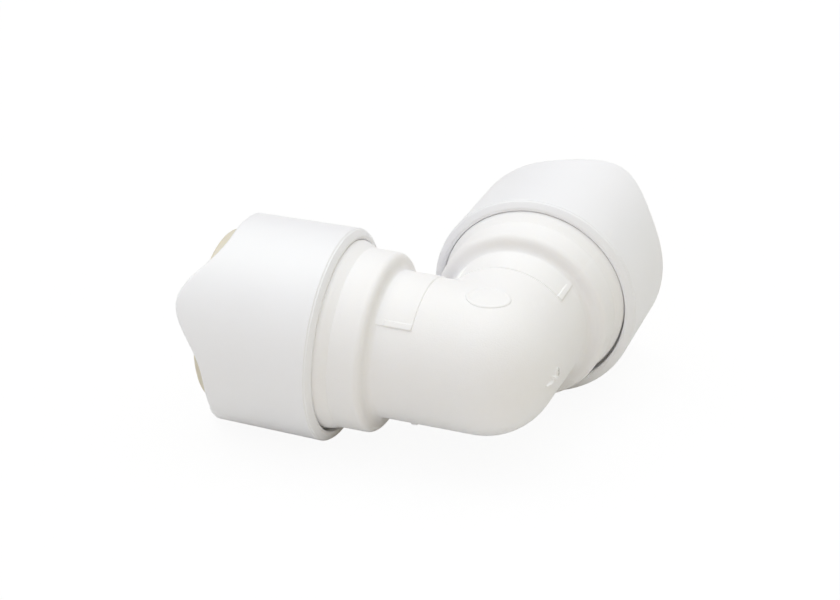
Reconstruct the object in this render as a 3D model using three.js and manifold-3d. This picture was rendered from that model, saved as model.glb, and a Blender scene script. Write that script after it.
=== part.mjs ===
// Equal 90 degree push-fit elbow for 15 mm pipe: one moulded body with two sockets, and in each
// socket a clipped-on wavy cap, a release collet with six steel grip teeth, an O-ring and a spacer.
// Units are millimetres, +Z is up, and the part rests on z = 0 on the rims of its two caps.
// Socket A opens along -X and socket B along +Y.
import * as THREE from 'three';
import { mergeVertices } from 'three/addons/utils/BufferGeometryUtils.js';
import Module from 'manifold-3d';

const wasm = await Module();
wasm.setup();

// ---------------------------------------------------------------- driving dimensions
// Names ending in _R are radii. Names ending in _U are distances along a socket's axis from the
// point where the two socket axes cross.
const PIPE_R = 7.5;            // nominal 15 mm pipe
const OVERCUT = 1;             // how far a cutter runs past the face it opens

// Inside of the body
const WATERWAY_R = 6.2;        // clear passage round the bend
const PIPE_STOP_U = 8.0;       // flat ledge the pipe end lands on
const PIPE_BORE_R = PIPE_R + 0.1;
const SEAL_FLOOR_U = 15.6;     // start of the O-ring chamber
const SEAL_R = 10.1;
const GUIDE_FLOOR_U = 20.4;    // start of the counterbore round the collet's fingers
const GUIDE_R = 10.5;

// Outside of the body
const TUBE_R = 9.74;           // outside of the bend
const FILLET_R = 1.0;          // foot of the shoulder
const SHOULDER_U = 13.3;       // back face of the shoulder
const SHOULDER_R = 12.0;
const SHOULDER_ROUND = 1.1;
const RAMP_U = 17.72;          // the shoulder flares out to the flange in two slopes
const RAMP_END_U = 18.62;
const RAMP_END_R = 12.46;
const FLANGE_U = 19.4;
const FLANGE_END_U = 20.6;
const FLANGE_R = 12.65;
const SPIGOT_R = 11.3;
const SPIGOT_END_U = 27.0;
const BARB_U = 23.4;           // retaining face of the barb the cap clips over
const BARB_R = 12.2;
const BARB_LAND = 0.7;         // straight part of the barb before it tapers
const BARB_END_U = 26.0;

// Cap
const CAP_R = 14.26;           // at the back edge
const CAP_MOUTH_R = 13.89;     // at the mouth's peaks, after the draft
const CAP_BACK_U = 19.35;
const CAP_BACK_ROUND = 0.62;
const CAP_SKIRT_R = 12.85;     // counterbore over the body's flange
const CAP_LEDGE_U = 21.0;
const CAP_LEDGE_R = 11.6;
const CAP_GROOVE_U = 23.1;
const CAP_GROOVE_R = 12.5;
const CAP_GROOVE_END_U = 26.4;
const CONE_U = 27.6;           // cone that squeezes the collet's fingers
const CONE_R = 10.9;
const CONE_EDGE_DROP = 0.2;    // the ledge bore ends this far behind the cone
const THROAT_U = 31.0;
const THROAT_R = 9.25;
const RECESS_U = 31.3;
const RECESS_R = 11.8;
const RECESS_CHAMFER = 0.45;
const LIP_ROUND = 0.5;
const WAVE_TROUGH_U = 34.43;   // mouth: three lobes, flat troughs
const WAVE_HEIGHT = 4.36;
const WAVE_LOBES = 3;
const WAVE_POWER = 2.3;        // above 1 it narrows the lobes and flattens the troughs
const WAVE_PEAK_U = WAVE_TROUGH_U + WAVE_HEIGHT;
const WAVE_PHASE_A = -59;      // degrees from +Z to a lobe's peak
const WAVE_PHASE_B = 27;       // differs from A: the caps aren't keyed to the body

// Collet
const COLLET_BORE_R = PIPE_R + 0.2;
const COLLET_TAIL_U = 22.9;
const COLLET_TAIL_CHAMFER = 0.4;               // inside edge of the tail
const COLLET_HEAD_R = 10.2;
const COLLET_HEAD_TAPER = { r: 0.5, u: 0.9 };  // outside edge of the tail
const COLLET_WEDGE_U = 28.2;
const COLLET_BARREL_U = 30.65;
const COLLET_BARREL_R = 9.0;
const COLLET_RIM_U = 33.6;
const COLLET_RIM_R = 11.5;
const COLLET_RIM_BACK_CHAMFER = 0.3;
const COLLET_RIM_FRONT_CHAMFER = 0.35;
const COLLET_END_U = 36.5;
const COLLET_LEAD_IN = { r: 0.5, u: 0.6 };     // flare where the pipe enters
const FINGERS = 6;
const FINGER_PITCH = 2 * Math.PI / FINGERS;
const SLOT_W = 1.2;
const SLOT_END_U = 31.8;

// Grip teeth: flat blades leaning in from root to tip
const TOOTH_ROOT = { r: 9.4, u: 26.8 };
const TOOTH_TIP = { r: PIPE_R - 0.05, u: 25.9 };
const TOOTH_HALF_W = 2.25;
const TOOTH_THICKNESS = 0.36;
const TOOTH_CHAMFER = 0.4;     // root corners
const POCKET_CLEAR = 0.14;     // gap all round a tooth in the collet
const POCKET_LENGTH = 3.6;

// O-ring and spacer
const ORING_U = 17.25;
const ORING_MID_R = 8.72;
const ORING_SECTION_R = 1.3;
const SPACER_U = 18.75;
const SPACER_END_U = 20.6;
const SPACER_BORE_R = 7.75;
const SPACER_R = 9.85;
const SPACER_OUTER_CHAMFER = 0.2;
const SPACER_INNER_CHAMFER = 0.3;

// Blank raised label plate, on top of each arm. Angles are in radians from +Z.
const PLATE_U = 7.9;
const PLATE_END_U = 11.7;
const PLATE_HALF_ANGLE = 0.847;
const PLATE_RISE = 0.14;
const PLATE_TAB_ANGLE = 0.768; // from here to its side edges a plate stands a little higher
const PLATE_TAB_RISE = 0.28;
const PLATE_SINK = 0.6;        // depth buried in the tube wall

// Blank oval pad on top of the bend, following its crown
const PAD_HALF = { x: 3.05, y: 2.4 };
const PAD_CENTRE = { x: 0.17, y: -0.54, z: 8.5 };
const PAD_RISE = 0.13;
const PAD_BLANK_H = 6;         // height of the oval before it is trimmed to the crown
const PAD_SKIN_U = 5;          // how far the trimming skin runs along each arm

// Mesh resolution
const BODY_SEGS = 40;
const CAP_SEGS = 48;
const COLLET_SEGS = 36;
const RING_SEGS = 28;
const ORING_SECTION_SEGS = 8;
const PAD_SEGS = 40;
const FILLET_STEPS = 2;
const SHOULDER_STEPS = 3;
const PLATE_STEPS = 10;
const TOOTH_TIP_STEPS = 6;

// The part's origin is under the middle of the bounding box, at the level of the caps' rims.
const CENTRING = (WAVE_PEAK_U - CAP_R) / 2;
const SHIFT = [CENTRING, -CENTRING, CAP_R];

// ---------------------------------------------------------------- materials
const FINISHES = {
  body: { color: 0xeeece6, roughness: 0.6, metalness: 0 },
  cap: { color: 0xf1f2f3, roughness: 0.35, metalness: 0 },
  collet: { color: 0xd8d0ba, roughness: 0.45, metalness: 0 },
  steel: { color: 0xb9bcbf, roughness: 0.3, metalness: 1 },
  rubber: { color: 0x1c1c1d, roughness: 0.6, metalness: 0 },
  spacer: { color: 0xdfe0e0, roughness: 0.5, metalness: 0 },
};

// ---------------------------------------------------------------- helpers
// A socket is drawn with its axis along +Y; angle 0 is +Z and a quarter turn is +X.
const ARM_A = new THREE.Matrix4().makeRotationZ(Math.PI / 2).makeBasis(
  new THREE.Vector3(0, 1, 0), new THREE.Vector3(-1, 0, 0), new THREE.Vector3(0, 0, 1));
const ARM_B = new THREE.Matrix4();
const ARMS = [ARM_A, ARM_B];

// Welds a geometry to bare positions and faces, drops collapsed faces and turns the rest outwards.
function indexed(geometry) {
  geometry.deleteAttribute('normal');
  geometry.deleteAttribute('uv');
  const merged = mergeVertices(geometry, 1e-5);
  const source = merged.index.array;
  const position = merged.attributes.position;
  const faces = [];
  const [va, vb, vc] = [new THREE.Vector3(), new THREE.Vector3(), new THREE.Vector3()];
  let volume = 0;
  for (let i = 0; i < source.length; i += 3) {
    const [a, b, c] = source.slice(i, i + 3);
    if (a === b || b === c || c === a) continue;
    faces.push(a, b, c);
    va.fromBufferAttribute(position, a);
    vb.fromBufferAttribute(position, b);
    vc.fromBufferAttribute(position, c);
    volume += va.dot(vb.cross(vc)) / 6;
  }
  if (volume < 0) {
    for (let i = 0; i < faces.length; i += 3) {
      [faces[i + 1], faces[i + 2]] = [faces[i + 2], faces[i + 1]];
    }
  }
  const out = new THREE.BufferGeometry();
  out.setAttribute('position', position);
  out.setIndex(faces);
  return out;
}

function solid(geometry) {
  const welded = indexed(geometry);
  return new wasm.Manifold(new wasm.Mesh({
    numProp: 3,
    vertProperties: new Float32Array(welded.attributes.position.array),
    triVerts: new Uint32Array(welded.index.array),
  }));
}

function geometryOf(manifold) {
  const mesh = manifold.getMesh();
  const out = new THREE.BufferGeometry();
  out.setAttribute('position', new THREE.BufferAttribute(new Float32Array(mesh.vertProperties), 3));
  out.setIndex(Array.from(mesh.triVerts));
  return out;
}

// Lathe of [radius, u] points round the socket axis. The profile starts and ends on the axis,
// or closes on itself.
function turned(profile, segs, closed = false) {
  const points = profile.map(([r, u]) => new THREE.Vector2(r, u));
  if (closed) points.push(points[0].clone());
  return new THREE.LatheGeometry(points, segs);
}

// [radius, u] points on an arc, with angles in degrees from the radial direction.
function arc(centreR, centreU, radius, from, to, steps) {
  const out = [];
  for (let i = 0; i <= steps; i++) {
    const angle = THREE.MathUtils.degToRad(from + (to - from) * i / steps);
    out.push([centreR + radius * Math.cos(angle), centreU + radius * Math.sin(angle)]);
  }
  return out;
}

// Flat outline of [x, y] points extruded along +Z.
function extruded(outline, depth) {
  const shape = new THREE.Shape(outline.map(([x, y]) => new THREE.Vector2(x, y)));
  shape.closePath();
  return new THREE.ExtrudeGeometry(shape, { depth, bevelEnabled: false });
}

// ---------------------------------------------------------------- body
// Half sections of one arm, as [radius, u] points
const ARM_OUTSIDE = [
  [0, 0], [TUBE_R, 0],
  ...arc(TUBE_R + FILLET_R, SHOULDER_U - FILLET_R, FILLET_R, 180, 90, FILLET_STEPS),
  ...arc(SHOULDER_R - SHOULDER_ROUND, SHOULDER_U + SHOULDER_ROUND, SHOULDER_ROUND,
    -90, 0, SHOULDER_STEPS),
  [SHOULDER_R, RAMP_U], [RAMP_END_R, RAMP_END_U],
  [FLANGE_R, FLANGE_U], [FLANGE_R, FLANGE_END_U],
  [SPIGOT_R, FLANGE_END_U], [SPIGOT_R, BARB_U],
  [BARB_R, BARB_U], [BARB_R, BARB_U + BARB_LAND],
  [SPIGOT_R, BARB_END_U], [SPIGOT_R, SPIGOT_END_U], [0, SPIGOT_END_U],
];
const ARM_INSIDE = [
  [0, 0], [WATERWAY_R, 0], [WATERWAY_R, PIPE_STOP_U],
  [PIPE_BORE_R, PIPE_STOP_U], [PIPE_BORE_R, SEAL_FLOOR_U],
  [SEAL_R, SEAL_FLOOR_U], [SEAL_R, GUIDE_FLOOR_U],
  [GUIDE_R, GUIDE_FLOOR_U], [GUIDE_R, SPIGOT_END_U + OVERCUT], [0, SPIGOT_END_U + OVERCUT],
];

// The same arm along both axes, joined by a sphere where they cross.
function bend(armProfile, cornerR) {
  const [armA, armB] = ARMS.map((m) => solid(turned(armProfile, BODY_SEGS).applyMatrix4(m)));
  // The poles are on Z, so the meridians land on the arms' first rings of vertices.
  const corner = new THREE.SphereGeometry(cornerR, BODY_SEGS / 2, BODY_SEGS / 2)
    .rotateX(Math.PI / 2);
  return armA.add(armB).add(solid(corner));
}

function labelPlate() {
  const polar = (radius, angle) => [radius * Math.sin(angle), radius * Math.cos(angle)];
  const sweep = (radius, from, to) => Array.from({ length: PLATE_STEPS + 1 },
    (_, i) => polar(radius, from + (to - from) * i / PLATE_STEPS));
  const tabR = TUBE_R + PLATE_TAB_RISE;
  const outline = [
    polar(tabR, -PLATE_HALF_ANGLE),
    polar(tabR, -PLATE_TAB_ANGLE),
    ...sweep(TUBE_R + PLATE_RISE, -PLATE_TAB_ANGLE, PLATE_TAB_ANGLE),
    polar(tabR, PLATE_TAB_ANGLE),
    polar(tabR, PLATE_HALF_ANGLE),
    ...sweep(TUBE_R - PLATE_SINK, PLATE_HALF_ANGLE, -PLATE_HALF_ANGLE),
  ];
  return extruded(outline, PLATE_END_U - PLATE_U)
    .rotateX(Math.PI / 2).translate(0, PLATE_END_U, 0);
}

function crownPad() {
  const skinR = TUBE_R + PAD_RISE;
  const skin = bend([[0, 0], [skinR, 0], [skinR, PAD_SKIN_U], [0, PAD_SKIN_U]], skinR);
  const oval = new THREE.CylinderGeometry(1, 1, PAD_BLANK_H, PAD_SEGS).rotateX(Math.PI / 2)
    .scale(PAD_HALF.x, PAD_HALF.y, 1).translate(PAD_CENTRE.x, PAD_CENTRE.y, PAD_CENTRE.z);
  return solid(oval).intersect(skin);
}

function body() {
  let out = bend(ARM_OUTSIDE, TUBE_R);
  for (const arm of ARMS) out = out.add(solid(labelPlate().applyMatrix4(arm)));
  out = out.add(crownPad());
  return geometryOf(out.subtract(bend(ARM_INSIDE, WATERWAY_R)));
}

// ---------------------------------------------------------------- cap
// Lip points, as shares of LIP_ROUND: [in from the outer wall, down from the mouth]
const LIP_CURVE = [[0, 1], [0.08, 0.6], [0.3, 0.28], [1, 0]];
const ROUND_MIDPOINT = 0.29;   // inset of a quarter round's middle, as a share of its radius

function waveLift(angle, phaseDeg) {
  const swing = Math.cos(WAVE_LOBES * (angle - THREE.MathUtils.degToRad(phaseDeg)));
  return WAVE_HEIGHT * Math.pow((1 + swing) / 2, WAVE_POWER);
}

// Outer radius at u: the wall narrows steadily from the back edge to the mouth's peaks.
function capOuterR(u) {
  const share = Math.max(0, u - CAP_BACK_U) / (WAVE_PEAK_U - CAP_BACK_U);
  return CAP_R + (CAP_MOUTH_R - CAP_R) * share;
}

function cap(phaseDeg) {
  const back = [
    [CAP_SKIRT_R, CAP_BACK_U], [CAP_R - CAP_BACK_ROUND, CAP_BACK_U],
    [CAP_R - CAP_BACK_ROUND * ROUND_MIDPOINT, CAP_BACK_U + CAP_BACK_ROUND * ROUND_MIDPOINT],
    [CAP_R, CAP_BACK_U + CAP_BACK_ROUND],
  ];
  const outerLip = LIP_CURVE.map(([inset, drop]) => {
    const u = WAVE_TROUGH_U - LIP_ROUND * drop;
    return [capOuterR(u) - LIP_ROUND * inset, u];
  });
  const innerLip = [
    [RECESS_R + RECESS_CHAMFER, WAVE_TROUGH_U], [RECESS_R, WAVE_TROUGH_U - RECESS_CHAMFER],
  ];
  const inside = [
    [RECESS_R, RECESS_U], [THROAT_R, RECESS_U], [THROAT_R, THROAT_U], [CONE_R, CONE_U],
    [CAP_LEDGE_R, CONE_U - CONE_EDGE_DROP], [CAP_LEDGE_R, CAP_GROOVE_END_U],
    [CAP_GROOVE_R, CAP_GROOVE_END_U], [CAP_GROOVE_R, CAP_GROOVE_U],
    [CAP_LEDGE_R, CAP_GROOVE_U], [CAP_LEDGE_R, CAP_LEDGE_U], [CAP_SKIRT_R, CAP_LEDGE_U],
  ];
  const profile = [...back, ...outerLip, ...innerLip, ...inside];
  const geometry = turned(profile, CAP_SEGS, true);

  // Both lips ride up and down with the mouth's wave.
  const innerStart = back.length + outerLip.length;
  const lipEnd = innerStart + innerLip.length;
  const position = geometry.attributes.position;
  for (let s = 0; s <= CAP_SEGS; s++) {
    for (let k = back.length; k < lipEnd; k++) {
      const i = s * (profile.length + 1) + k;
      const [x, y, z] = [position.getX(i), position.getY(i), position.getZ(i)];
      const u = y + waveLift(Math.atan2(x, z), phaseDeg);
      // the draft goes on up the lobes; the inner wall is straight
      const draft = k < innerStart ? capOuterR(u) - capOuterR(y) : 0;
      const scale = 1 + draft / Math.hypot(x, z);
      position.setXYZ(i, x * scale, u, z * scale);
    }
  }
  return geometry;
}

// ---------------------------------------------------------------- grip teeth
const BLADE_DROP = TOOTH_ROOT.r - TOOTH_TIP.r;
const BLADE_LENGTH = Math.hypot(BLADE_DROP, TOOTH_TIP.u - TOOTH_ROOT.u);

// Frame at a tooth's root: X across the blade, Y down it to the tip, Z through its thickness.
function bladeFrame() {
  const across = new THREE.Vector3(1, 0, 0);
  const along = new THREE.Vector3(
    0, (TOOTH_TIP.u - TOOTH_ROOT.u) / BLADE_LENGTH, -BLADE_DROP / BLADE_LENGTH);
  const through = new THREE.Vector3().crossVectors(across, along);
  return new THREE.Matrix4().makeBasis(across, along, through)
    .setPosition(0, TOOTH_ROOT.u, TOOTH_ROOT.r);
}

// Each tooth sits midway between two slots of the collet.
function toothAngle(i) {
  return (i + 0.5) * FINGER_PITCH;
}

// A thin blade leaning in towards the pipe, with its tip hollowed to the pipe's round.
function tooth() {
  const w = TOOTH_HALF_W;
  const outline = [[-w + TOOTH_CHAMFER, 0], [w - TOOTH_CHAMFER, 0], [w, TOOTH_CHAMFER]];
  for (let i = 0; i <= TOOTH_TIP_STEPS; i++) {
    const x = w - 2 * w * i / TOOTH_TIP_STEPS;
    const drop = TOOTH_ROOT.r - Math.sqrt(TOOTH_TIP.r ** 2 - x * x);
    outline.push([x, drop * BLADE_LENGTH / BLADE_DROP]);
  }
  outline.push([-w, TOOTH_CHAMFER]);
  return extruded(outline, TOOTH_THICKNESS)
    .translate(0, 0, -TOOTH_THICKNESS / 2).applyMatrix4(bladeFrame());
}

// ---------------------------------------------------------------- collet
function toothPocket(angle) {
  const width = 2 * (TOOTH_HALF_W + POCKET_CLEAR);
  const thickness = TOOTH_THICKNESS + 2 * POCKET_CLEAR;
  return new THREE.BoxGeometry(width, POCKET_LENGTH, thickness)
    .translate(0, POCKET_LENGTH / 2 - POCKET_CLEAR, 0)
    .applyMatrix4(bladeFrame()).rotateY(angle);
}

// Cuts right across the collet, so one makes two slots.
function slotCutter(angle) {
  const length = SLOT_END_U - COLLET_TAIL_U + OVERCUT;
  return new THREE.BoxGeometry(SLOT_W, length, 2 * (COLLET_HEAD_R + OVERCUT))
    .translate(0, SLOT_END_U - length / 2, 0).rotateY(angle);
}

function collet() {
  let out = solid(turned([
    [COLLET_BORE_R + COLLET_TAIL_CHAMFER, COLLET_TAIL_U],
    [COLLET_BORE_R, COLLET_TAIL_U + COLLET_TAIL_CHAMFER],
    [COLLET_BORE_R, COLLET_END_U - COLLET_LEAD_IN.u],
    [COLLET_BORE_R + COLLET_LEAD_IN.r, COLLET_END_U],
    [COLLET_RIM_R - COLLET_RIM_FRONT_CHAMFER, COLLET_END_U],
    [COLLET_RIM_R, COLLET_END_U - COLLET_RIM_FRONT_CHAMFER],
    [COLLET_RIM_R, COLLET_RIM_U + COLLET_RIM_BACK_CHAMFER],
    [COLLET_RIM_R - COLLET_RIM_BACK_CHAMFER, COLLET_RIM_U],
    [COLLET_BARREL_R, COLLET_RIM_U], [COLLET_BARREL_R, COLLET_BARREL_U],
    [COLLET_HEAD_R, COLLET_WEDGE_U],
    [COLLET_HEAD_R, COLLET_TAIL_U + COLLET_HEAD_TAPER.u],
    [COLLET_HEAD_R - COLLET_HEAD_TAPER.r, COLLET_TAIL_U],
  ], COLLET_SEGS, true));
  for (let i = 0; i < FINGERS / 2; i++) out = out.subtract(solid(slotCutter(i * FINGER_PITCH)));
  for (let i = 0; i < FINGERS; i++) out = out.subtract(solid(toothPocket(toothAngle(i))));
  return geometryOf(out);
}

// ---------------------------------------------------------------- seal and spacer
function oRing() {
  return new THREE.TorusGeometry(ORING_MID_R, ORING_SECTION_R, ORING_SECTION_SEGS, RING_SEGS)
    .rotateX(Math.PI / 2).translate(0, ORING_U, 0);
}

function spacer() {
  return turned([
    [SPACER_BORE_R, SPACER_U],
    [SPACER_R - SPACER_OUTER_CHAMFER, SPACER_U], [SPACER_R, SPACER_U + SPACER_OUTER_CHAMFER],
    [SPACER_R, SPACER_END_U], [SPACER_BORE_R + SPACER_INNER_CHAMFER, SPACER_END_U],
    [SPACER_BORE_R, SPACER_END_U - SPACER_INNER_CHAMFER],
  ], RING_SEGS, true);
}

// ---------------------------------------------------------------- assembly
function addMesh(parent, name, source, finish) {
  const geometry = indexed(source);
  geometry.computeVertexNormals();
  const mesh = new THREE.Mesh(geometry, new THREE.MeshStandardMaterial(finish));
  mesh.name = name;
  parent.add(mesh);
  return mesh;
}

function socket(key, turn, phaseDeg) {
  const group = new THREE.Group();
  group.name = `socket_${key}`;
  group.rotation.z = turn;
  addMesh(group, `cap_${key}`, cap(phaseDeg), FINISHES.cap);
  addMesh(group, `release_collet_${key}`, collet(), FINISHES.collet);
  for (let i = 0; i < FINGERS; i++) {
    const blade = addMesh(group, `grip_tooth_${key}${i + 1}`, tooth(), FINISHES.steel);
    blade.rotation.y = toothAngle(i);
  }
  addMesh(group, `o_ring_${key}`, oRing(), FINISHES.rubber);
  addMesh(group, `spacer_washer_${key}`, spacer(), FINISHES.spacer);
  return group;
}

const part = new THREE.Group();
part.name = 'push_fit_elbow';
const fitting = new THREE.Group();
fitting.name = 'fitting';
fitting.position.set(...SHIFT);
part.add(fitting);

addMesh(fitting, 'body', body(), FINISHES.body);
fitting.add(socket('a', Math.PI / 2, WAVE_PHASE_A));
fitting.add(socket('b', 0, WAVE_PHASE_B));

export default part;
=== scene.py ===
"""A right-angled push-in pipe elbow: body, two wavy caps, release collets, teeth, seals, spacers.

The socket axes are level and cross at CROSS. Socket a opens towards -X and socket b towards +Y,
so the outside of the bend faces +X and -Y. The floor is z = 0. Lengths are in mm unless noted.
Round pieces use a socket's own coordinates: the radius from its axis, the distance along it from
the crossing, and the angle from +Z, which is positive towards the outside of the bend.
"""

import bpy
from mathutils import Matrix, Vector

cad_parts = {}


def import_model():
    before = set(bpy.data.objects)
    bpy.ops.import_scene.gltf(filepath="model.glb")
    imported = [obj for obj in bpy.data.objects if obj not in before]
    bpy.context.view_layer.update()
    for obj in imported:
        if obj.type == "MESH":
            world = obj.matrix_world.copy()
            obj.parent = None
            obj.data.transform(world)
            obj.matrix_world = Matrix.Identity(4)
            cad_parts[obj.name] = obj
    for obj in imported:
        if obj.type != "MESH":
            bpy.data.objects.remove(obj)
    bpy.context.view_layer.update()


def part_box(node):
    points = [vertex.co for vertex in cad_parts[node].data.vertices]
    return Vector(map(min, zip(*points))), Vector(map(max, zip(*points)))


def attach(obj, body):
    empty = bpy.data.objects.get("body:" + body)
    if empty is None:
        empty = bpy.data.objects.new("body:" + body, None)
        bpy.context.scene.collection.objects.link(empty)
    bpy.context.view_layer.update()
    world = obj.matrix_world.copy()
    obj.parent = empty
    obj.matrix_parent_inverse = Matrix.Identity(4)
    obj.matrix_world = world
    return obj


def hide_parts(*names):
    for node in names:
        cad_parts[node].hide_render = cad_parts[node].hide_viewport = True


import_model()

import math

import bpy
import numpy as np
from mathutils import Matrix

MM = 0.001


# ------------------------------------------------------------------ socket coordinates
def middle(node):
    low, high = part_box(node)
    return [(a + b) / 2 for a, b in zip(low, high)]


CROSS = np.array([middle("o_ring_b")[0], *middle("o_ring_a")[1:]])      # metres


def reach(node, key):
    """(nearest, farthest) distance of a node from the crossing, along its socket's axis."""
    low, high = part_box(node)
    if key == "a":
        return (CROSS[0] - high[0]) / MM, (CROSS[0] - low[0]) / MM
    return (low[1] - CROSS[1]) / MM, (high[1] - CROSS[1]) / MM


def around(key, radius, along, angle):
    """Points in mm about the crossing, from socket coordinates."""
    radius, along, angle = np.broadcast_arrays(radius, along, angle)
    side, height = radius * np.sin(angle), radius * np.cos(angle)
    return np.stack([-along, -side, height] if key == "a" else [side, along, height], -1)


def place(key, radius, along, angle):
    """Points in the frame's metres, from socket coordinates."""
    return around(key, radius, along, angle) * MM + CROSS


# ------------------------------------------------------------------ driving sizes
TUBE_R, WATER_R = 9.74, 6.2                 # bend: outer skin and bore
BEND_START, STOP_ALONG = 12.2, 8.0          # where the bend's skin starts, and the pipe's stop
BORE_START = STOP_ALONG - 0.4               # where the bore's bend starts
CREASE = 1.2                                # size of the rounding inside the elbow
PLATE_FRONT, PLATE_HALF, PLATE_RISE = 7.9, 48.5, 0.14   # label plate: front edge, half width (deg)
TAB_HALF, TAB_RISE, TAB_END = 44.0, 0.13, 11.65         # its side edges stand higher
SHOULDER_R, FLANGE_R, SKIRT_R = 12.0, 12.6, 12.85       # arm, its flange, and the cap round it
SPIGOT_END = reach("body", "a")[1]

# The body sits high in its caps: angle where the gap under it starts to open, and over how much
GAP_OPENS = {"a": (95, 75), "b": (60, 90)}

CAP_BACK, CAP_PEAK = reach("cap_a", "a")
CAP_R, CAP_PEAK_R = 14.26, 13.86            # the wall tapers from back to peak
WAVE_HEIGHT, WAVE_POWER = 4.36, 2.3
WAVE_PHASE = {"a": math.radians(59), "b": math.radians(27)}


# ------------------------------------------------------------------ profiles
def rounded(corners):
    """Points of a polyline of (radius, along[, corner radius, segments]) entries."""
    points = []
    for i, entry in enumerate(corners):
        corner = np.array(entry[:2], float)
        if len(entry) == 2:
            points.append(corner)
            continue
        fillet, segments = entry[2:]
        before = np.array(corners[i - 1][:2], float) - corner
        after = np.array(corners[(i + 1) % len(corners)][:2], float) - corner
        before /= np.linalg.norm(before)
        after /= np.linalg.norm(after)
        half = math.acos(max(-1.0, min(1.0, float(before @ after)))) / 2
        tangent = fillet / math.tan(half)
        halfway = (before + after) / np.linalg.norm(before + after)
        centre = corner + halfway * fillet / math.sin(half)
        start, end = corner + before * tangent - centre, corner + after * tangent - centre
        turn = math.atan2(start[0] * end[1] - start[1] * end[0], float(start @ end))
        for k in range(segments + 1):
            cos, sin = math.cos(turn * k / segments), math.sin(turn * k / segments)
            points.append(centre + np.array([cos * start[0] - sin * start[1],
                                             sin * start[0] + cos * start[1]]))
    return np.array(points)


def spaced(profile, step, closed=False):
    """The same profile with long straights cut into shorter ones."""
    corners = list(profile) + ([profile[0]] if closed else [])
    points = [corners[0]]
    for a, b in zip(corners[:-1], corners[1:]):
        count = max(1, int(math.ceil(float(np.linalg.norm(b - a)) / step)))
        points += [a + (b - a) * k / count for k in range(1, count + 1)]
    return np.array(points[:-1] if closed else points)


def ease(x):
    """Smooth step from 0 at x = 0 to 1 at x = 1."""
    x = np.clip(x, 0.0, 1.0)
    return x * x * (3 - 2 * x)


# ------------------------------------------------------------------ meshes
def grid_faces(index, wrap_rows, wrap_cols):
    """Quads over a 2-D array of vertex numbers."""
    if wrap_rows:
        index = np.concatenate([index, index[:1]], 0)
    if wrap_cols:
        index = np.concatenate([index, index[:, :1]], 1)
    quads = [index[:-1, :-1], index[:-1, 1:], index[1:, 1:], index[1:, :-1]]
    return np.stack(quads, -1).reshape(-1, 4)


def facing_out(verts, quads):
    """The quads, turned over if they enclose a negative volume."""
    arm = verts - verts.mean(0)
    tris = np.concatenate([quads[:, [0, 1, 2]], quads[:, [0, 2, 3]]])
    normals = np.cross(arm[tris[:, 1]], arm[tris[:, 2]])
    volume = np.einsum("ij,ij->i", arm[tris[:, 0]], normals).sum()
    return quads if volume > 0 else quads[:, ::-1]


def without_repeats(quad):
    """A quad whose repeated neighbours are dropped, so it may become a triangle."""
    face = [quad[0]]
    for k in quad[1:]:
        if k != face[-1]:
            face.append(k)
    if face[0] == face[-1]:
        face.pop()
    return face


def build(name, verts, quads, material, part, replaces=None, sharp=32.0):
    """A smooth-shaded object that rides on a part; edges over `sharp` degrees stay sharp."""
    verts = np.asarray(verts, float).reshape(-1, 3)
    faces = [without_repeats(quad) for quad in facing_out(verts, quads).tolist()]
    faces = [face for face in faces if len(face) > 2]
    mesh = bpy.data.meshes.new(name)
    mesh.from_pydata(verts.tolist(), [], faces)
    mesh.polygons.foreach_set("use_smooth", [True] * len(mesh.polygons))
    mesh.update()
    mesh.set_sharp_from_angle(angle=math.radians(sharp))
    mesh.materials.append(material)
    obj = bpy.data.objects.new(name, mesh)
    bpy.context.scene.collection.objects.link(obj)
    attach(obj, part)
    if replaces:
        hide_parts(replaces)
    return obj


# ------------------------------------------------------------------ shader nodes
def add_node(tree, kind, inputs=None, **properties):
    """A node whose inputs are given as values, or as sockets to link from."""
    made = tree.nodes.new(kind)
    for name, value in properties.items():
        setattr(made, name, value)
    for name, value in (inputs or {}).items():
        if isinstance(value, bpy.types.NodeSocket):
            tree.links.new(value, made.inputs[name])
        else:
            made.inputs[name].default_value = value
    return made


def math_node(tree, operation, a, b):
    return add_node(tree, "ShaderNodeMath", {0: a, 1: b}, operation=operation).outputs[0]


def subsurface(weight, radius, scale):
    return {"Subsurface Weight": weight, "Subsurface Radius": radius,
            "Subsurface Scale": scale * MM}


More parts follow.
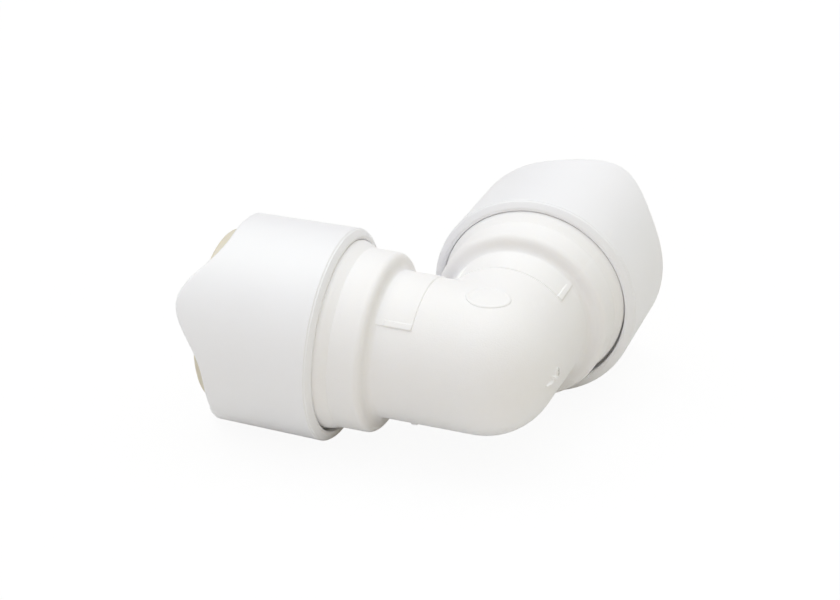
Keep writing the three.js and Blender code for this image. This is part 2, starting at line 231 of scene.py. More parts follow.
class Surface:
    """A material of one Principled shader, with textures in object millimetres."""

    def __init__(self, name, stretch=(1, 1, 1)):
        self.material = bpy.data.materials.new(name)
        self.material.use_nodes = True
        self.tree = self.material.node_tree
        self.tree.nodes.clear()
        output = self.add("OutputMaterial")
        self.principled = self.add("BsdfPrincipled")
        self.tree.links.new(self.principled.outputs["BSDF"], output.inputs["Surface"])
        place_from = self.add("TexCoord").outputs["Object"]
        scale = [1000 * s for s in stretch]
        mapping = self.add("Mapping", {"Scale": scale, "Vector": place_from})
        self.coords = mapping.outputs["Vector"]
        self.normal = None

    def add(self, kind, inputs=None, **properties):
        return add_node(self.tree, "ShaderNode" + kind, inputs, **properties)

    def noise(self, scale, detail, roughness):
        return self.add("TexNoise", {"Scale": scale, "Detail": detail, "Roughness": roughness,
                                     "Vector": self.coords}).outputs["Fac"]

    def remap(self, value, low, high, start=0.3, end=0.7):
        """Low to high, as the value goes from start to end."""
        return self.add("MapRange", {"From Min": start, "From Max": end, "To Min": low,
                                     "To Max": high, "Value": value}).outputs["Result"]

    def blend(self, factor, first, second):
        """From the first colour to the second; each is a socket or a plain RGB."""
        first, second = ((*c, 1.0) if isinstance(c, tuple) else c for c in (first, second))
        return self.add("Mix", {0: factor, 6: first, 7: second}, data_type="RGBA").outputs[2]

    def painted_edge_highlight(self, colour, amount, highlight_colour):
        """The colour, turning to a lighter painted highlight on outside edges."""
        pointiness = self.add("NewGeometry").outputs["Pointiness"]
        edge = self.remap(pointiness, low=0.0, high=1.0, start=0.52, end=0.60)
        return self.blend(math_node(self.tree, "MULTIPLY", edge, amount), colour, highlight_colour)

    def bump(self, height, strength, depth):
        """Adds a bump, depth in mm, over the ones before it."""
        inputs = {"Strength": strength, "Distance": depth * MM, "Height": height}
        if self.normal is not None:
            inputs["Normal"] = self.normal
        self.normal = self.add("Bump", inputs).outputs["Normal"]

    def finish(self, colour, roughness, settings):
        for socket, source in (("Base Color", colour), ("Roughness", roughness),
                               ("Normal", self.normal)):
            self.tree.links.new(source, self.principled.inputs[socket])
        for name, value in settings.items():
            self.principled.inputs[name].default_value = value
        return self.material


# ------------------------------------------------------------------ materials
def body_material():
    """Fine matte grain, faint cloudiness, and a painted highlight making outside edges a little
    lighter.
    """
    surface = Surface("body_plastic")
    cloud = surface.noise(scale=0.16, detail=4.0, roughness=0.6)
    mottle = surface.noise(scale=1.1, detail=3.0, roughness=0.6)
    grain = surface.noise(scale=5.5, detail=2.0, roughness=0.7)
    fine = surface.noise(scale=14.0, detail=2.0, roughness=0.6)
    colour = surface.blend(cloud, (0.893, 0.888, 0.893), (0.913, 0.908, 0.915))
    mottled = surface.remap(mottle, low=0.0, high=0.35, start=0.45, end=0.75)
    colour = surface.blend(mottled, colour, (0.899, 0.894, 0.902))
    # painted highlight: outside edges are lightened
    colour = surface.painted_edge_highlight(colour, amount=0.5, highlight_colour=(0.925, 0.922, 0.926))
    surface.bump(mottle, strength=0.22, depth=0.07)
    surface.bump(grain, strength=0.65, depth=0.045)
    surface.bump(fine, strength=0.5, depth=0.018)
    return surface.finish(colour, surface.remap(grain, low=0.50, high=0.66), {
        "IOR": 1.49, "Specular IOR Level": 0.42,
        **subsurface(weight=0.12, radius=(1.0, 0.9, 0.75), scale=0.5)})


def scar_material():
    """The body's plastic where the feed was torn off: rougher, with painted shade darkening its
    hollows.
    """
    surface = Surface("body_scar")
    hollow = surface.add("Attribute", attribute_name="painted_pit_shade").outputs["Fac"]
    fibre = surface.noise(scale=7.0, detail=3.0, roughness=0.7)
    colour = surface.blend(surface.remap(fibre, low=0.0, high=1.0),
                           (0.892, 0.886, 0.893), (0.912, 0.907, 0.914))
    # painted shade: the scar's pits and grooves are darkened towards brown-grey
    painted_pit_shade = math_node(surface.tree, "MULTIPLY", hollow, 0.8)
    colour = surface.blend(painted_pit_shade, colour, (0.17, 0.155, 0.13))
    surface.bump(fibre, strength=0.4, depth=0.03)
    return surface.finish(colour, surface.remap(fibre, low=0.35, high=0.6), {"IOR": 1.49})


def cap_material():
    """Smooth satin moulding: cooler white, long soft ripples, very fine haze."""
    surface = Surface("cap_plastic")
    cloud = surface.noise(scale=0.11, detail=3.0, roughness=0.5)
    ripple = surface.noise(scale=0.55, detail=2.0, roughness=0.45)
    haze = surface.noise(scale=9.0, detail=2.0, roughness=0.6)
    colour = surface.blend(cloud, (0.888, 0.894, 0.924), (0.906, 0.912, 0.942))
    # painted highlight: outside edges are lightened
    colour = surface.painted_edge_highlight(colour, amount=0.4, highlight_colour=(0.920, 0.924, 0.945))
    surface.bump(ripple, strength=0.15, depth=0.08)
    surface.bump(haze, strength=0.24, depth=0.016)
    return surface.finish(colour, surface.remap(haze, low=0.36, high=0.46), {
        "IOR": 1.5, "Specular IOR Level": 0.45,
        **subsurface(weight=0.12, radius=(1.0, 0.95, 0.9), scale=0.5)})


def collet_material():
    """Natural acetal: cream, waxy, slightly see-through."""
    surface = Surface("collet_acetal")
    cloud = surface.noise(scale=0.3, detail=3.0, roughness=0.55)
    fine = surface.noise(scale=7.0, detail=2.0, roughness=0.6)
    colour = surface.blend(cloud, (0.690, 0.640, 0.520), (0.735, 0.690, 0.580))
    # painted highlight: outside edges are lightened towards a paler cream
    colour = surface.painted_edge_highlight(colour, amount=0.6, highlight_colour=(0.80, 0.765, 0.67))
    surface.bump(cloud, strength=0.08, depth=0.05)
    surface.bump(fine, strength=0.15, depth=0.010)
    return surface.finish(colour, surface.remap(fine, low=0.34, high=0.46), {
        "IOR": 1.48, **subsurface(weight=0.25, radius=(1.0, 0.8, 0.5), scale=0.8)})


def steel_material():
    """Stamped stainless strip with a rolled grain."""
    surface = Surface("tooth_steel", stretch=(1, 1, 6))
    streak = surface.noise(scale=3.0, detail=4.0, roughness=0.6)
    colour = surface.blend(streak, (0.60, 0.61, 0.62), (0.74, 0.75, 0.76))
    surface.bump(streak, strength=0.15, depth=0.008)
    return surface.finish(colour, surface.remap(streak, low=0.22, high=0.40), {"Metallic": 1.0})


def rubber_material():
    """Black nitrile seal with a thin film of silicone grease."""
    surface = Surface("seal_rubber")
    blot = surface.noise(scale=0.8, detail=4.0, roughness=0.6)
    fine = surface.noise(scale=8.0, detail=2.0, roughness=0.6)
    colour = surface.blend(blot, (0.012, 0.012, 0.013), (0.030, 0.030, 0.032))
    roughness = surface.remap(blot, low=0.22, high=0.55, start=0.35, end=0.65)
    surface.bump(fine, strength=0.2, depth=0.010)
    return surface.finish(colour, roughness, {})


def spacer_material():
    """Light grey plastic with a fine grain."""
    surface = Surface("spacer_plastic")
    cloud = surface.noise(scale=0.5, detail=3.0, roughness=0.5)
    fine = surface.noise(scale=9.0, detail=2.0, roughness=0.6)
    colour = surface.blend(cloud, (0.74, 0.75, 0.76), (0.80, 0.81, 0.82))
    surface.bump(fine, strength=0.2, depth=0.012)
    return surface.finish(colour, surface.remap(fine, low=0.40, high=0.52), {})


BODY, SCAR, CAP, COLLET = body_material(), scar_material(), cap_material(), collet_material()
STEEL, RUBBER, SPACER = steel_material(), rubber_material(), spacer_material()

# ------------------------------------------------------------------ body
# Extra mesh lines, in degrees from the plate's side edge, the tab's and the parting line
PLATE_LINES = (-0.9, -0.4, -0.15, 0.05, 0.3, 0.55, 0.8, 1.0, 1.2, 1.6)
TAB_LINES = (-0.5, -0.2, 0.05, 0.3, 0.55, 0.8, 1.2)
PARTING_LINES = (-0.95, -0.45, -0.2, 0.0, 0.2, 0.45, 0.95)

# Mesh rings at the start of the bend, close together at the tab's end and the plate's front edge
BEND_RINGS = (12.2, 12.0, 11.85, 11.75, 11.7, 11.65, 11.6, 11.55, 11.4, 11.0, 10.4, 9.6, 8.9, 8.4,
              8.12, 8.0, 7.95, 7.925, 7.9, 7.88, 7.86, 7.84, 7.82, 7.8, 7.77, 7.6)

# Arm from the bend's skin out to the spigot's end and back in to the bore:
# radius, along[, corner radius, segments]
ARM_OUTLINE = [
    (TUBE_R, BEND_START), (TUBE_R, 13.3, 0.95, 10), (SHOULDER_R, 13.3, 1.0, 12),
    (SHOULDER_R, 17.72, 0.15, 3), (12.36, 18.62, 0.35, 5), (FLANGE_R, 19.44, 0.14, 4),
    (FLANGE_R, 20.6, 0.12, 3), (11.3, 20.6, 0.12, 3), (11.3, 23.4, 0.08, 2),
    (12.2, 23.4, 0.12, 3), (12.2, 24.1, 0.25, 3), (11.3, 26.0, 0.4, 3),
    (11.3, SPIGOT_END, 0.2, 3), (10.5, SPIGOT_END, 0.25, 3), (10.5, 20.4, 0.12, 3),
    (10.1, 20.4, 0.12, 3), (10.1, 15.6, 0.5, 5), (7.6, 15.6, 0.35, 4),
    (7.6, STOP_ALONG, 0.15, 3), (WATER_R, STOP_ALONG, 0.2, 3), (WATER_R, BORE_START)]

INWARD = np.array([-1.0, 1.0, 0.0]) / math.sqrt(2)      # towards the inside of the elbow


def body_angles():
    """Angles round an axis, with close lines at the plate's side edges and the parting line."""
    lines = [sign * (edge + offset) for sign in (1, -1)
             for edge, offsets in ((PLATE_HALF, PLATE_LINES), (TAB_HALF, TAB_LINES))
             for offset in offsets]
    lines += [side + offset for side in (90, -90) for offset in PARTING_LINES]
    lines = np.array(lines)
    even = [angle for angle in np.arange(-180, 180, 1.5)
            if np.min(np.abs(((lines - angle + 180) % 360) - 180)) > 0.7]
    return np.radians(np.sort(np.concatenate([lines, even])))


def plate_height(along, angle):
    degrees = np.degrees(np.abs(angle))
    side = 1 - ease((degrees - PLATE_HALF) / 1.05)
    front = ease((along - (PLATE_FRONT - 0.1)) / 0.13)
    tab = ease((degrees - TAB_HALF) / 0.75) * (1 - ease((along - (TAB_END - 0.1)) / 0.2))
    return (PLATE_RISE + TAB_RISE * tab) * side * front


def parting_height(angle):
    off_line = np.abs(np.abs(angle) - math.pi / 2)
    return 0.012 * (1 - ease(np.degrees(off_line) / 0.42))


def crease_shift(points):
    """How far each point of the bend's skin moves INWARD, to round the crease there."""
    def outside(shift):
        """Signed distance of the shifted points outside the two blended arms."""
        moved = points + shift[..., None] * INWARD
        x, y, z = moved[..., 0], moved[..., 1], moved[..., 2]
        from_a = np.sqrt(np.maximum(x, 0) ** 2 + y ** 2 + z ** 2) - TUBE_R
        from_b = np.sqrt(np.minimum(y, 0) ** 2 + x ** 2 + z ** 2) - TUBE_R
        blend = CREASE * np.clip((y - x) / 2, 1e-4, None) / TUBE_R
        smooth = blend - np.sqrt(np.maximum(blend - from_a, 0) ** 2
                                 + np.maximum(blend - from_b, 0) ** 2)
        both = (from_a < blend) & (from_b < blend)
        return np.where(both, smooth, np.minimum(from_a, from_b))

    low, high = np.zeros(points.shape[:-1]), np.full(points.shape[:-1], 2.0)
    for _ in range(40):
        half = (low + high) / 2
        out = outside(half) > 0
        high, low = np.where(out, half, high), np.where(out, low, half)
    inner = (points[..., 1] > 0) & (points[..., 0] < 0)
    return np.where(inner, high, 0.0)


def bend(angles, radius, start, stations, count, outer):
    """Half the bend, from start to the mitre plane, as points [angle][step] about the crossing.

    The outer skin also gets its rounded crease, label plate and parting line.
    """
    sine = np.sin(angles)
    total = np.where(sine > 0, start + math.pi / 4 * radius * sine, start + radius * sine)
    squeeze = np.minimum(1.0, 0.965 * total / stations[-1])
    paths = [squeeze * station for station in stations]
    reached = paths[-1]
    paths += [reached + (total - reached) * k / count for k in range(1, count + 1)]
    along, angle = np.broadcast_arrays(start - np.stack(paths, 1), angles[:, None])
    sine, cosine = np.sin(angle), np.cos(angle)
    turned = np.clip(-along, 0, None) / np.maximum(radius * sine, 1e-9)
    turned = np.where(sine > 1e-9, np.minimum(turned, math.pi / 4), 0.0)
    normals = np.stack([sine * np.sin(turned), -sine * np.cos(turned), cosine], -1)
    points = radius * normals
    points[..., 0] -= np.maximum(along, 0)
    if outer:
        shift = crease_shift(points)
        height = plate_height(along, angle) + parting_height(angle) * (angle > 0)
        height = height * (1 - ease(shift / 0.2))
        points = points + shift[..., None] * INWARD + height[..., None] * normals
    return points


def half_body(key):
    """Half the body up to the mitre, laid out along arm a; key picks the gap under its cap."""
    angles = body_angles()
    outer = bend(angles, TUBE_R, BEND_START, [BEND_START - ring for ring in BEND_RINGS], 26, True)
    inner = bend(angles, WATER_R, BORE_START, [0.0, 0.3, 0.7, 1.1], 16, False)

    profile = spaced(rounded(ARM_OUTLINE), 0.8)
    radius, along, angle = np.broadcast_arrays(profile[:, 0], profile[:, 1], angles[:, None])

    def before(limit):
        """True for the outline's points before it first passes the limit."""
        return np.arange(len(profile)) < int(np.argmax(profile[:, 1] > limit))

    skin = before(19.0)
    by_plate = skin & (along < 13.31) & (radius < 11.0)
    raised = np.maximum(radius, TUBE_R + plate_height(along, angle))
    radius = np.where(by_plate, raised, radius)
    radius = radius + np.where(skin, parting_height(angle), 0.0)
    # the flange flares out to leave only the gap inside the cap's skirt
    flare = np.clip((radius - SHOULDER_R) / (FLANGE_R - SHOULDER_R), 0, 1)
    flare = flare * (before(20.55) & (along > 17.5))
    opens, span = GAP_OPENS[key]
    gap = 0.045 + 0.52 * ease((np.degrees(np.abs(angle)) - opens) / span) ** 1.3
    radius = radius + (SKIRT_R - gap - FLANGE_R) * flare
    arm = around("a", radius, along, angle)
    return np.concatenate([outer[:, :0:-1], arm, inner[:, 1:]], 1)


def make_body():
    half_a, half_b = half_body("a"), half_body("b")
    rows, cols = half_a.shape[:2]
    half_b = np.stack([-half_b[..., 1], -half_b[..., 0], half_b[..., 2]], -1)
    index_a = np.arange(rows * cols).reshape(rows, cols)
    index_b = index_a + rows * cols
    index_b[:, [0, -1]] = index_a[:, [0, -1]]       # the two halves share the mitre's rings
    quads = np.concatenate([grid_faces(index_a, True, False),
                            grid_faces(index_b, True, False)[:, ::-1]])
    used = np.unique(quads)
    renumber = np.full(2 * rows * cols, -1)
    renumber[used] = np.arange(len(used))
    verts = np.concatenate([half_a.reshape(-1, 3), half_b.reshape(-1, 3)])[used] * MM + CROSS
    build("elbow_body", verts, renumber[quads], BODY, "fitting_body",
          replaces="body")


# ------------------------------------------------------------------ small marks on the body
def crown(x, y):
    """Height of the bend's top skin over a point of the axes' plane."""
    from_a = np.where(x <= 0, np.abs(y), np.hypot(x, y))
    from_b = np.where(y >= 0, np.abs(x), np.hypot(x, y))
    return np.sqrt(np.maximum(TUBE_R ** 2 - np.minimum(from_a, from_b) ** 2, 0))


def stamped(name, rings, top_middle, low_middle, material, sharp=50.0):
    """Closed piece on the body, from rings in mm: outwards over the top, then down the side."""
    points = np.stack(rings, 1)
    count, depth = points.shape[:2]
    index = np.arange(count * depth).reshape(count, depth)
    top, low = count * depth, count * depth + 1
    ends = []
    for i in range(count):
        j = (i + 1) % count
        ends.append([index[j, 0], top, top, index[i, 0]])
        ends.append([index[i, -1], low, low, index[j, -1]])
    quads = np.concatenate([grid_faces(index, True, False), ends])
    verts = np.concatenate([points.reshape(-1, 3), [top_middle], [low_middle]])
    return build(name, verts * MM + CROSS, quads, material, "fitting_body",
                 sharp=sharp)


# Share of the pad's half widths, height over the crown
PAD_RINGS = [
    (0.2, 0.05), (0.4, 0.05), (0.6, 0.05), (0.74, 0.05), (0.80, 0.051), (0.825, 0.06),
    (0.845, 0.085), (0.865, 0.11), (0.89, 0.12), (0.93, 0.125), (0.96, 0.12), (0.98, 0.10),
    (0.991, 0.06), (0.998, 0.005), (1.002, -0.04), (1.002, -0.5)]


def make_oval_pad():
    """Blank oval pad on the crown of the bend: it follows the crown and has a thin raised rim."""
    middle_x, middle_y, half_long, half_short = 0.165, -0.53, 2.99, 2.5
    cos, sin = math.cos(0.24), math.sin(0.24)       # the oval's turn, radians
    round_it = np.linspace(0, 2 * math.pi, 180, endpoint=False)
    rings = []
    for share, height in PAD_RINGS:
        long, short = share * half_long * np.cos(round_it), share * half_short * np.sin(round_it)
        x = middle_x + long * cos - short * sin
        y = middle_y + long * sin + short * cos
        rings.append(np.stack([x, y, crown(x, y) + height], -1))
    z = float(crown(middle_x, middle_y))
    stamped("crown_pad", rings, (middle_x, middle_y, z + 0.05), (middle_x, middle_y, z - 0.8), BODY)


# Blobs: amount, middle y, z, spread in y, z, power
SCAR_BLOBS = [
    (0.26, -0.1, 0.3, 0.5, 0.7, 4.0), (0.12, -0.8, 0.05, 0.3, 0.22, 2.0),
    (0.10, -0.75, -0.75, 0.16, 0.12, 2.0), (0.08, -0.45, -0.62, 0.12, 0.10, 2.0),
    (-0.34, 0.02, 0.56, 0.24, 0.22, 2.0), (-0.30, -0.1, -0.06, 0.2, 0.18, 2.0),
    (-0.22, 0.16, 0.98, 0.2, 0.15, 2.0)]
# Where painted shade darkens the scar's pits and grooves, in the same columns
PIT_SHADE_BLOBS = [
    (1.1, 0.02, 0.56, 0.3, 0.24, 2.0), (1.0, -0.1, -0.06, 0.26, 0.24, 2.0),
    (0.75, 0.14, 0.95, 0.26, 0.2, 2.0), (0.45, -0.36, 0.42, 0.09, 0.4, 2.0)]
# Ridges and grooves: amount, y and z of one end, y and z of the other, width
SCAR_BARS = [
    (0.36, -1.2, 0.05, -1.7, 0.42, 0.15), (0.38, -1.8, -0.06, -3.35, -0.24, 0.12),
    (0.16, -0.62, 0.7, -0.85, -0.2, 0.09), (-0.22, -0.3, 0.75, -0.42, 0.1, 0.07)]


def blobs(table, y, z):
    return sum(amount * np.exp(-(np.abs((y - mid_y) / wide_y) ** power
                                 + np.abs((z - mid_z) / wide_z) ** power))
               for amount, mid_y, mid_z, wide_y, wide_z, power in table)


def bar(y, z, start_y, start_z, end_y, end_z, width):
    run_y, run_z = end_y - start_y, end_z - start_z
    share = ((y - start_y) * run_y + (z - start_z) * run_z) / (run_y ** 2 + run_z ** 2)
    share = np.clip(share, 0, 1)
    away = np.hypot(y - start_y - share * run_y, z - start_z - share * run_z)
    fade = 0.45 + 0.55 * np.sin(math.pi * np.clip(share, 0.08, 0.92))
    return np.exp(-(away / width) ** 2) * fade


def scar_painted_shade(y, z):
    """How much painted shade darkens the scar's hollows, 0 to 1."""
    patchy = 0.75 + 0.35 * np.sin(9 * z + 0.8) * np.sin(6 * y + 2)
    return np.clip(blobs(PIT_SHADE_BLOBS, y, z) * patchy, 0, 1)


def scar_height(y, z):
    """Height of the scar over the skin: a ragged lump with pits, and ridges trailing off."""
    height = 0.016 + blobs(SCAR_BLOBS, y, z)
    for amount, *line in SCAR_BARS:
        height = height + amount * bar(y, z, *line)
    rough = np.sin(9.1 * y + 4.3 * z) * np.sin(7.7 * z - 3.1 * y + 1.0)
    rough = rough + 0.5 * np.sin(17 * y - 11 * z + 2.0)
    return np.maximum(height + 0.035 * rough * np.minimum(height / 0.1, 1), 0.012)


def outer_skin(y, z, height):
    """Points over the bend's skin, on the +X side."""
    low = np.minimum(y, 0.0)
    x = np.sqrt(TUBE_R ** 2 - low ** 2 - z ** 2)
    lift = height / TUBE_R
    return np.stack([x * (1 + lift), y + low * lift, z * (1 + lift)], -1)


def make_gate_mark():
    """Torn-off stub where the mould was fed, on the parting line at the outside of the bend."""
    middle_y, middle_z, half_y, half_z, root = -1.45, 0.15, 2.25, 1.25, -0.5
    round_it = np.linspace(0, 2 * math.pi, 200, endpoint=False)
    wobble = 1 + 0.05 * np.sin(3 * round_it + 0.5) + 0.04 * np.sin(7 * round_it)
    rings = []
    for share in np.linspace(0.02, 1.0, 46):
        y = middle_y + half_y * share * wobble * np.cos(round_it)
        z = middle_z + half_z * share * wobble * np.sin(round_it)
        fade = ease((1 - share) / 0.1)
        rings.append(outer_skin(y, z, scar_height(y, z) * fade - 0.03 * (1 - fade)))
    rings.append(outer_skin(y, z, root))
    top = outer_skin(middle_y, middle_z, scar_height(middle_y, middle_z))
    low = outer_skin(middle_y, middle_z, root)
    piece = stamped("gate_mark", rings, top, low, SCAR, sharp=40.0)
    # painted shade for the pits, kept on each point for the scar's material
    painted_pit_shade = piece.data.attributes.new("painted_pit_shade", "FLOAT", "POINT")
    for i, vertex in enumerate(piece.data.vertices):
        y, z = ((vertex.co[axis] - CROSS[axis]) / MM for axis in (1, 2))
        painted_pit_shade.data[i].value = float(scar_painted_shade(y, z))


# Distance from the pip's middle, height over the skin
PIP_RINGS = [(0.12, 0.2), (0.25, 0.19), (0.34, 0.16), (0.42, 0.1), (0.48, 0.03), (0.52, -0.02),
             (0.54, -0.4)]


def make_pip():
    """Low moulded pip on the underside of arm a."""
    along, angle = 8.2, math.radians(153)
    round_it = np.linspace(0, 2 * math.pi, 40, endpoint=False)
    rings = [around("a", TUBE_R + height, along + away * np.cos(round_it),
                    angle + away * np.sin(round_it) / TUBE_R)
             for away, height in PIP_RINGS]
    top, low = (around("a", TUBE_R + height, along, angle) for height in (0.2, -0.5))
    stamped("under_pip", rings, top, low, BODY)


# ------------------------------------------------------------------ caps
CAP_BORE_R, CAP_FLOOR = 11.8, 31.3          # the mouth's inner wall, and the floor inside it
LIP, INNER_LIP, BACK_ROUND = 0.45, 0.35, 0.24

# Back face and its outer edge: radius, along[, corner radius, segments]
CAP_BACK_OUTLINE = [
    (13.12, CAP_BACK), (13.34, CAP_BACK, 0.25, 5), (14.07, CAP_BACK + 0.5, 0.12, 4),
    (14.09, CAP_BACK + 0.64, 0.07, 4), (CAP_R - 0.003, CAP_BACK + 0.80, 0.12, 5),
    (CAP_R - 0.01, CAP_BACK + 3)]
# Inside, from the mouth's wall back to the skirt
CAP_INSIDE_OUTLINE = [
    (CAP_BORE_R, CAP_FLOOR + 0.25), (CAP_BORE_R, CAP_FLOOR, 0.2, 3), (9.25, CAP_FLOOR, 0.22, 3),
    (9.25, 31.0, 0.1, 2), (10.9, 27.6, 0.1, 2), (11.6, 27.4, 0.1, 2), (11.6, 26.4, 0.1, 2),
    (12.5, 26.4, 0.15, 3), (12.5, 23.1, 0.15, 3), (11.6, 23.1, 0.1, 2), (11.6, 21.0, 0.2, 3),
    (SKIRT_R, 21.0, 0.2, 3), (SKIRT_R, 19.5)]


def wave(angle, phase):
    """Distance along the axis of the cap's wavy mouth, with three peaks."""
    share = (1 + np.cos(3 * (angle - phase))) / 2
    return CAP_PEAK - WAVE_HEIGHT + WAVE_HEIGHT * share ** WAVE_POWER


def wave_slope(angle, phase, radius):
    nudge = 1e-4
    return (wave(angle + nudge, phase) - wave(angle - nudge, phase)) / (2 * nudge * radius)


def wall_radius(along):
    share = np.clip((along - CAP_BACK) / (CAP_PEAK - CAP_BACK), 0, 1)
    return CAP_R + (CAP_PEAK_R - CAP_R) * share


def make_cap(key):
    angles = np.linspace(0, 2 * math.pi, 360, endpoint=False)[:, None]
    mouth = wave(angles, WAVE_PHASE[key])
    slope = wave_slope(angles, WAVE_PHASE[key], 13.5)
    cosine = 1 / np.sqrt(1 + slope ** 2)
    sine = slope * cosine
    columns = []

    def add(radius, along, angle=angles):
        columns.append(np.broadcast_arrays(radius, along, angle))

    def set_back(depth, radius, share=1.0):
        """Along and angle at a depth square to the wavy edge; share scales the sideways part."""
        return mouth - depth * cosine, angles + share * depth * sine / radius

    # the round at the back of the skirt, then the back face
    for turn in np.linspace(0, math.pi / 2, 7):
        add(SKIRT_R + BACK_ROUND * (1 - math.cos(turn)),
            CAP_BACK + BACK_ROUND * (1 - math.sin(turn)))
    back = rounded(CAP_BACK_OUTLINE)[:-1]
    for radius, along in back:
        add(radius, along)
    # the wall up to the mouth, then the lip rolled over at right angles to the wavy edge
    start = back[-1][1]
    for share in np.linspace(0, 1, 20)[1:-1]:
        top, angle = set_back(LIP, 13.9, share ** 3)
        along = start + (top - start) * share
        add(wall_radius(along), along, angle)
    for k in range(11):
        turn = math.pi / 2 * k / 10
        along, angle = set_back(LIP * (1 - math.sin(turn)), 13.6)
        add(wall_radius(along) - LIP * (1 - math.cos(turn)), along, angle)
    add(12.6, mouth)
    # the lip's inner side, the mouth's inner wall, and the inside
    for k in range(6):
        turn = math.pi / 2 * k / 5
        along, angle = set_back(INNER_LIP * (1 - math.cos(turn)), 12.0)
        add(CAP_BORE_R + INNER_LIP * (1 - math.sin(turn)), along, angle)
    for share in np.linspace(0, 1, 7)[1:]:
        top, angle = set_back(INNER_LIP, 12.0, (1 - share) ** 3)
        add(CAP_BORE_R, top + (CAP_FLOOR + 0.25 - top) * share, angle)
    for radius, along in spaced(rounded(CAP_INSIDE_OUTLINE), 1.2)[1:-1]:
        add(radius, along)

    radius, along, angle = (np.concatenate(parts, 1) for parts in zip(*columns))
    index = np.arange(radius.size).reshape(radius.shape)
    part = "cap_" + key
    build("wavy_cap_" + key, place(key, radius, along, angle), grid_faces(index, True, True),
          CAP, part, replaces=part)


# ------------------------------------------------------------------ release collets
FINGERS = 6
FINGER_PITCH = 2 * math.pi / FINGERS
COLLET_TAIL, SLOT_END, SLOT_HALF = 22.9, 31.8, 0.6
COLLET_BORE_R, COLLET_NECK_R, COLLET_RIM_R = 7.7, 9.0, 11.5
FINGER_COLS, SLOT_COLS = 22, 3


def askew(key, along, angle):
    """Collet a sits loose in its cap: its rim stands further out at the top than the bottom."""
    if key == "b":
        return along
    return along + (0.12 + 0.28 * np.cos(angle)) * ease((along - 32.2) / 1.2)


def collet_section(end):
    """(closed loop of a finger's section, points in its rim, stations along the finger).

    The loop runs round the rim first, then down the finger's outside and back up its inside.
    """
    inner = rounded([(8.15, COLLET_TAIL), (COLLET_BORE_R, COLLET_TAIL + 0.45, 0.3, 3),
                     (COLLET_BORE_R, SLOT_END)])
    outer = rounded([(9.75, COLLET_TAIL), (10.2, COLLET_TAIL + 0.8, 0.5, 4), (10.2, 28.2, 0.35, 4),
                     (COLLET_NECK_R, 30.65, 0.5, 4), (COLLET_NECK_R, SLOT_END)])
    stations = np.concatenate([inner[:, 1], outer[:, 1], np.arange(24, 31.8, 0.8)])
    stations = np.unique(np.round(stations, 4))
    inside = np.stack([np.interp(stations, inner[:, 1], inner[:, 0]), stations], 1)
    outside = np.stack([np.interp(stations, outer[:, 1], outer[:, 0]), stations], 1)
    rim = spaced(rounded([
        (COLLET_BORE_R, SLOT_END), (COLLET_BORE_R, end - 0.55, 0.5, 5), (8.2, end, 0.25, 4),
        (COLLET_RIM_R, end, 0.4, 6), (COLLET_RIM_R, 33.6, 0.25, 4), (COLLET_NECK_R, 33.6, 0.35, 4),
        (COLLET_NECK_R, SLOT_END)]), 0.9)
    return np.concatenate([rim, outside[::-1][1:], inside[:-1]]), len(rim), len(stations)


def make_collet(key):
    """Rim ring with six fingers; columns over a slot hold only the rim's points."""
    node = "release_collet_" + key
    loop, rim_count, stations = collet_section(reach(node, key)[1])
    slot_angle = np.arcsin(SLOT_HALF / loop[:, 0])
    columns, walls = [], []         # angles of each column; (column, is a finger's first side)
    for finger in range(FINGERS):
        for c in range(FINGER_COLS + 1):
            if c in (0, FINGER_COLS):
                walls.append((len(columns), c == 0))
            across = -1 + 2 * c / FINGER_COLS
            columns.append((finger + 0.5) * FINGER_PITCH + across * (FINGER_PITCH / 2 - slot_angle))
        for c in range(1, SLOT_COLS + 1):
            across = -1 + 2 * c / (SLOT_COLS + 1)
            columns.append((finger + 1) * FINGER_PITCH + across * slot_angle[:rim_count])

    verts, index, count = [], [], 0
    for angle in columns:
        radius, along = loop[:len(angle)].T
        verts.append(place(key, radius, askew(key, along, angle), angle))
        index.append(np.arange(count, count + len(angle)))
        count += len(angle)

    quads = []
    for here, beside in zip(index, index[1:] + index[:1]):
        size = min(len(here), len(beside))
        for k in range(size):
            after = (k + 1) % size
            quads.append([here[k], here[after], beside[after], beside[k]])
    # side walls of the slots, from the slot's end to the tail
    inside_start = rim_count + stations - 1
    for column, first in walls:
        here = index[column]
        outs = here[rim_count - 1:inside_start]
        ins = np.concatenate([here[:1], here[inside_start:][::-1]])
        for k in range(stations - 1):
            quad = [outs[k], outs[k + 1], ins[k + 1], ins[k]]
            quads.append(quad[::-1] if first else quad)
    build("release_collar_" + key, np.concatenate(verts), np.array(quads), COLLET,
          "collet_" + key, replaces=node, sharp=38)


def sheet_rim(sheet):
    """Vertex numbers round the border of a grid."""
    return np.concatenate([sheet[:, 0], sheet[-1, 1:], sheet[::-1, -1][1:], sheet[0, ::-1][1:-1]])


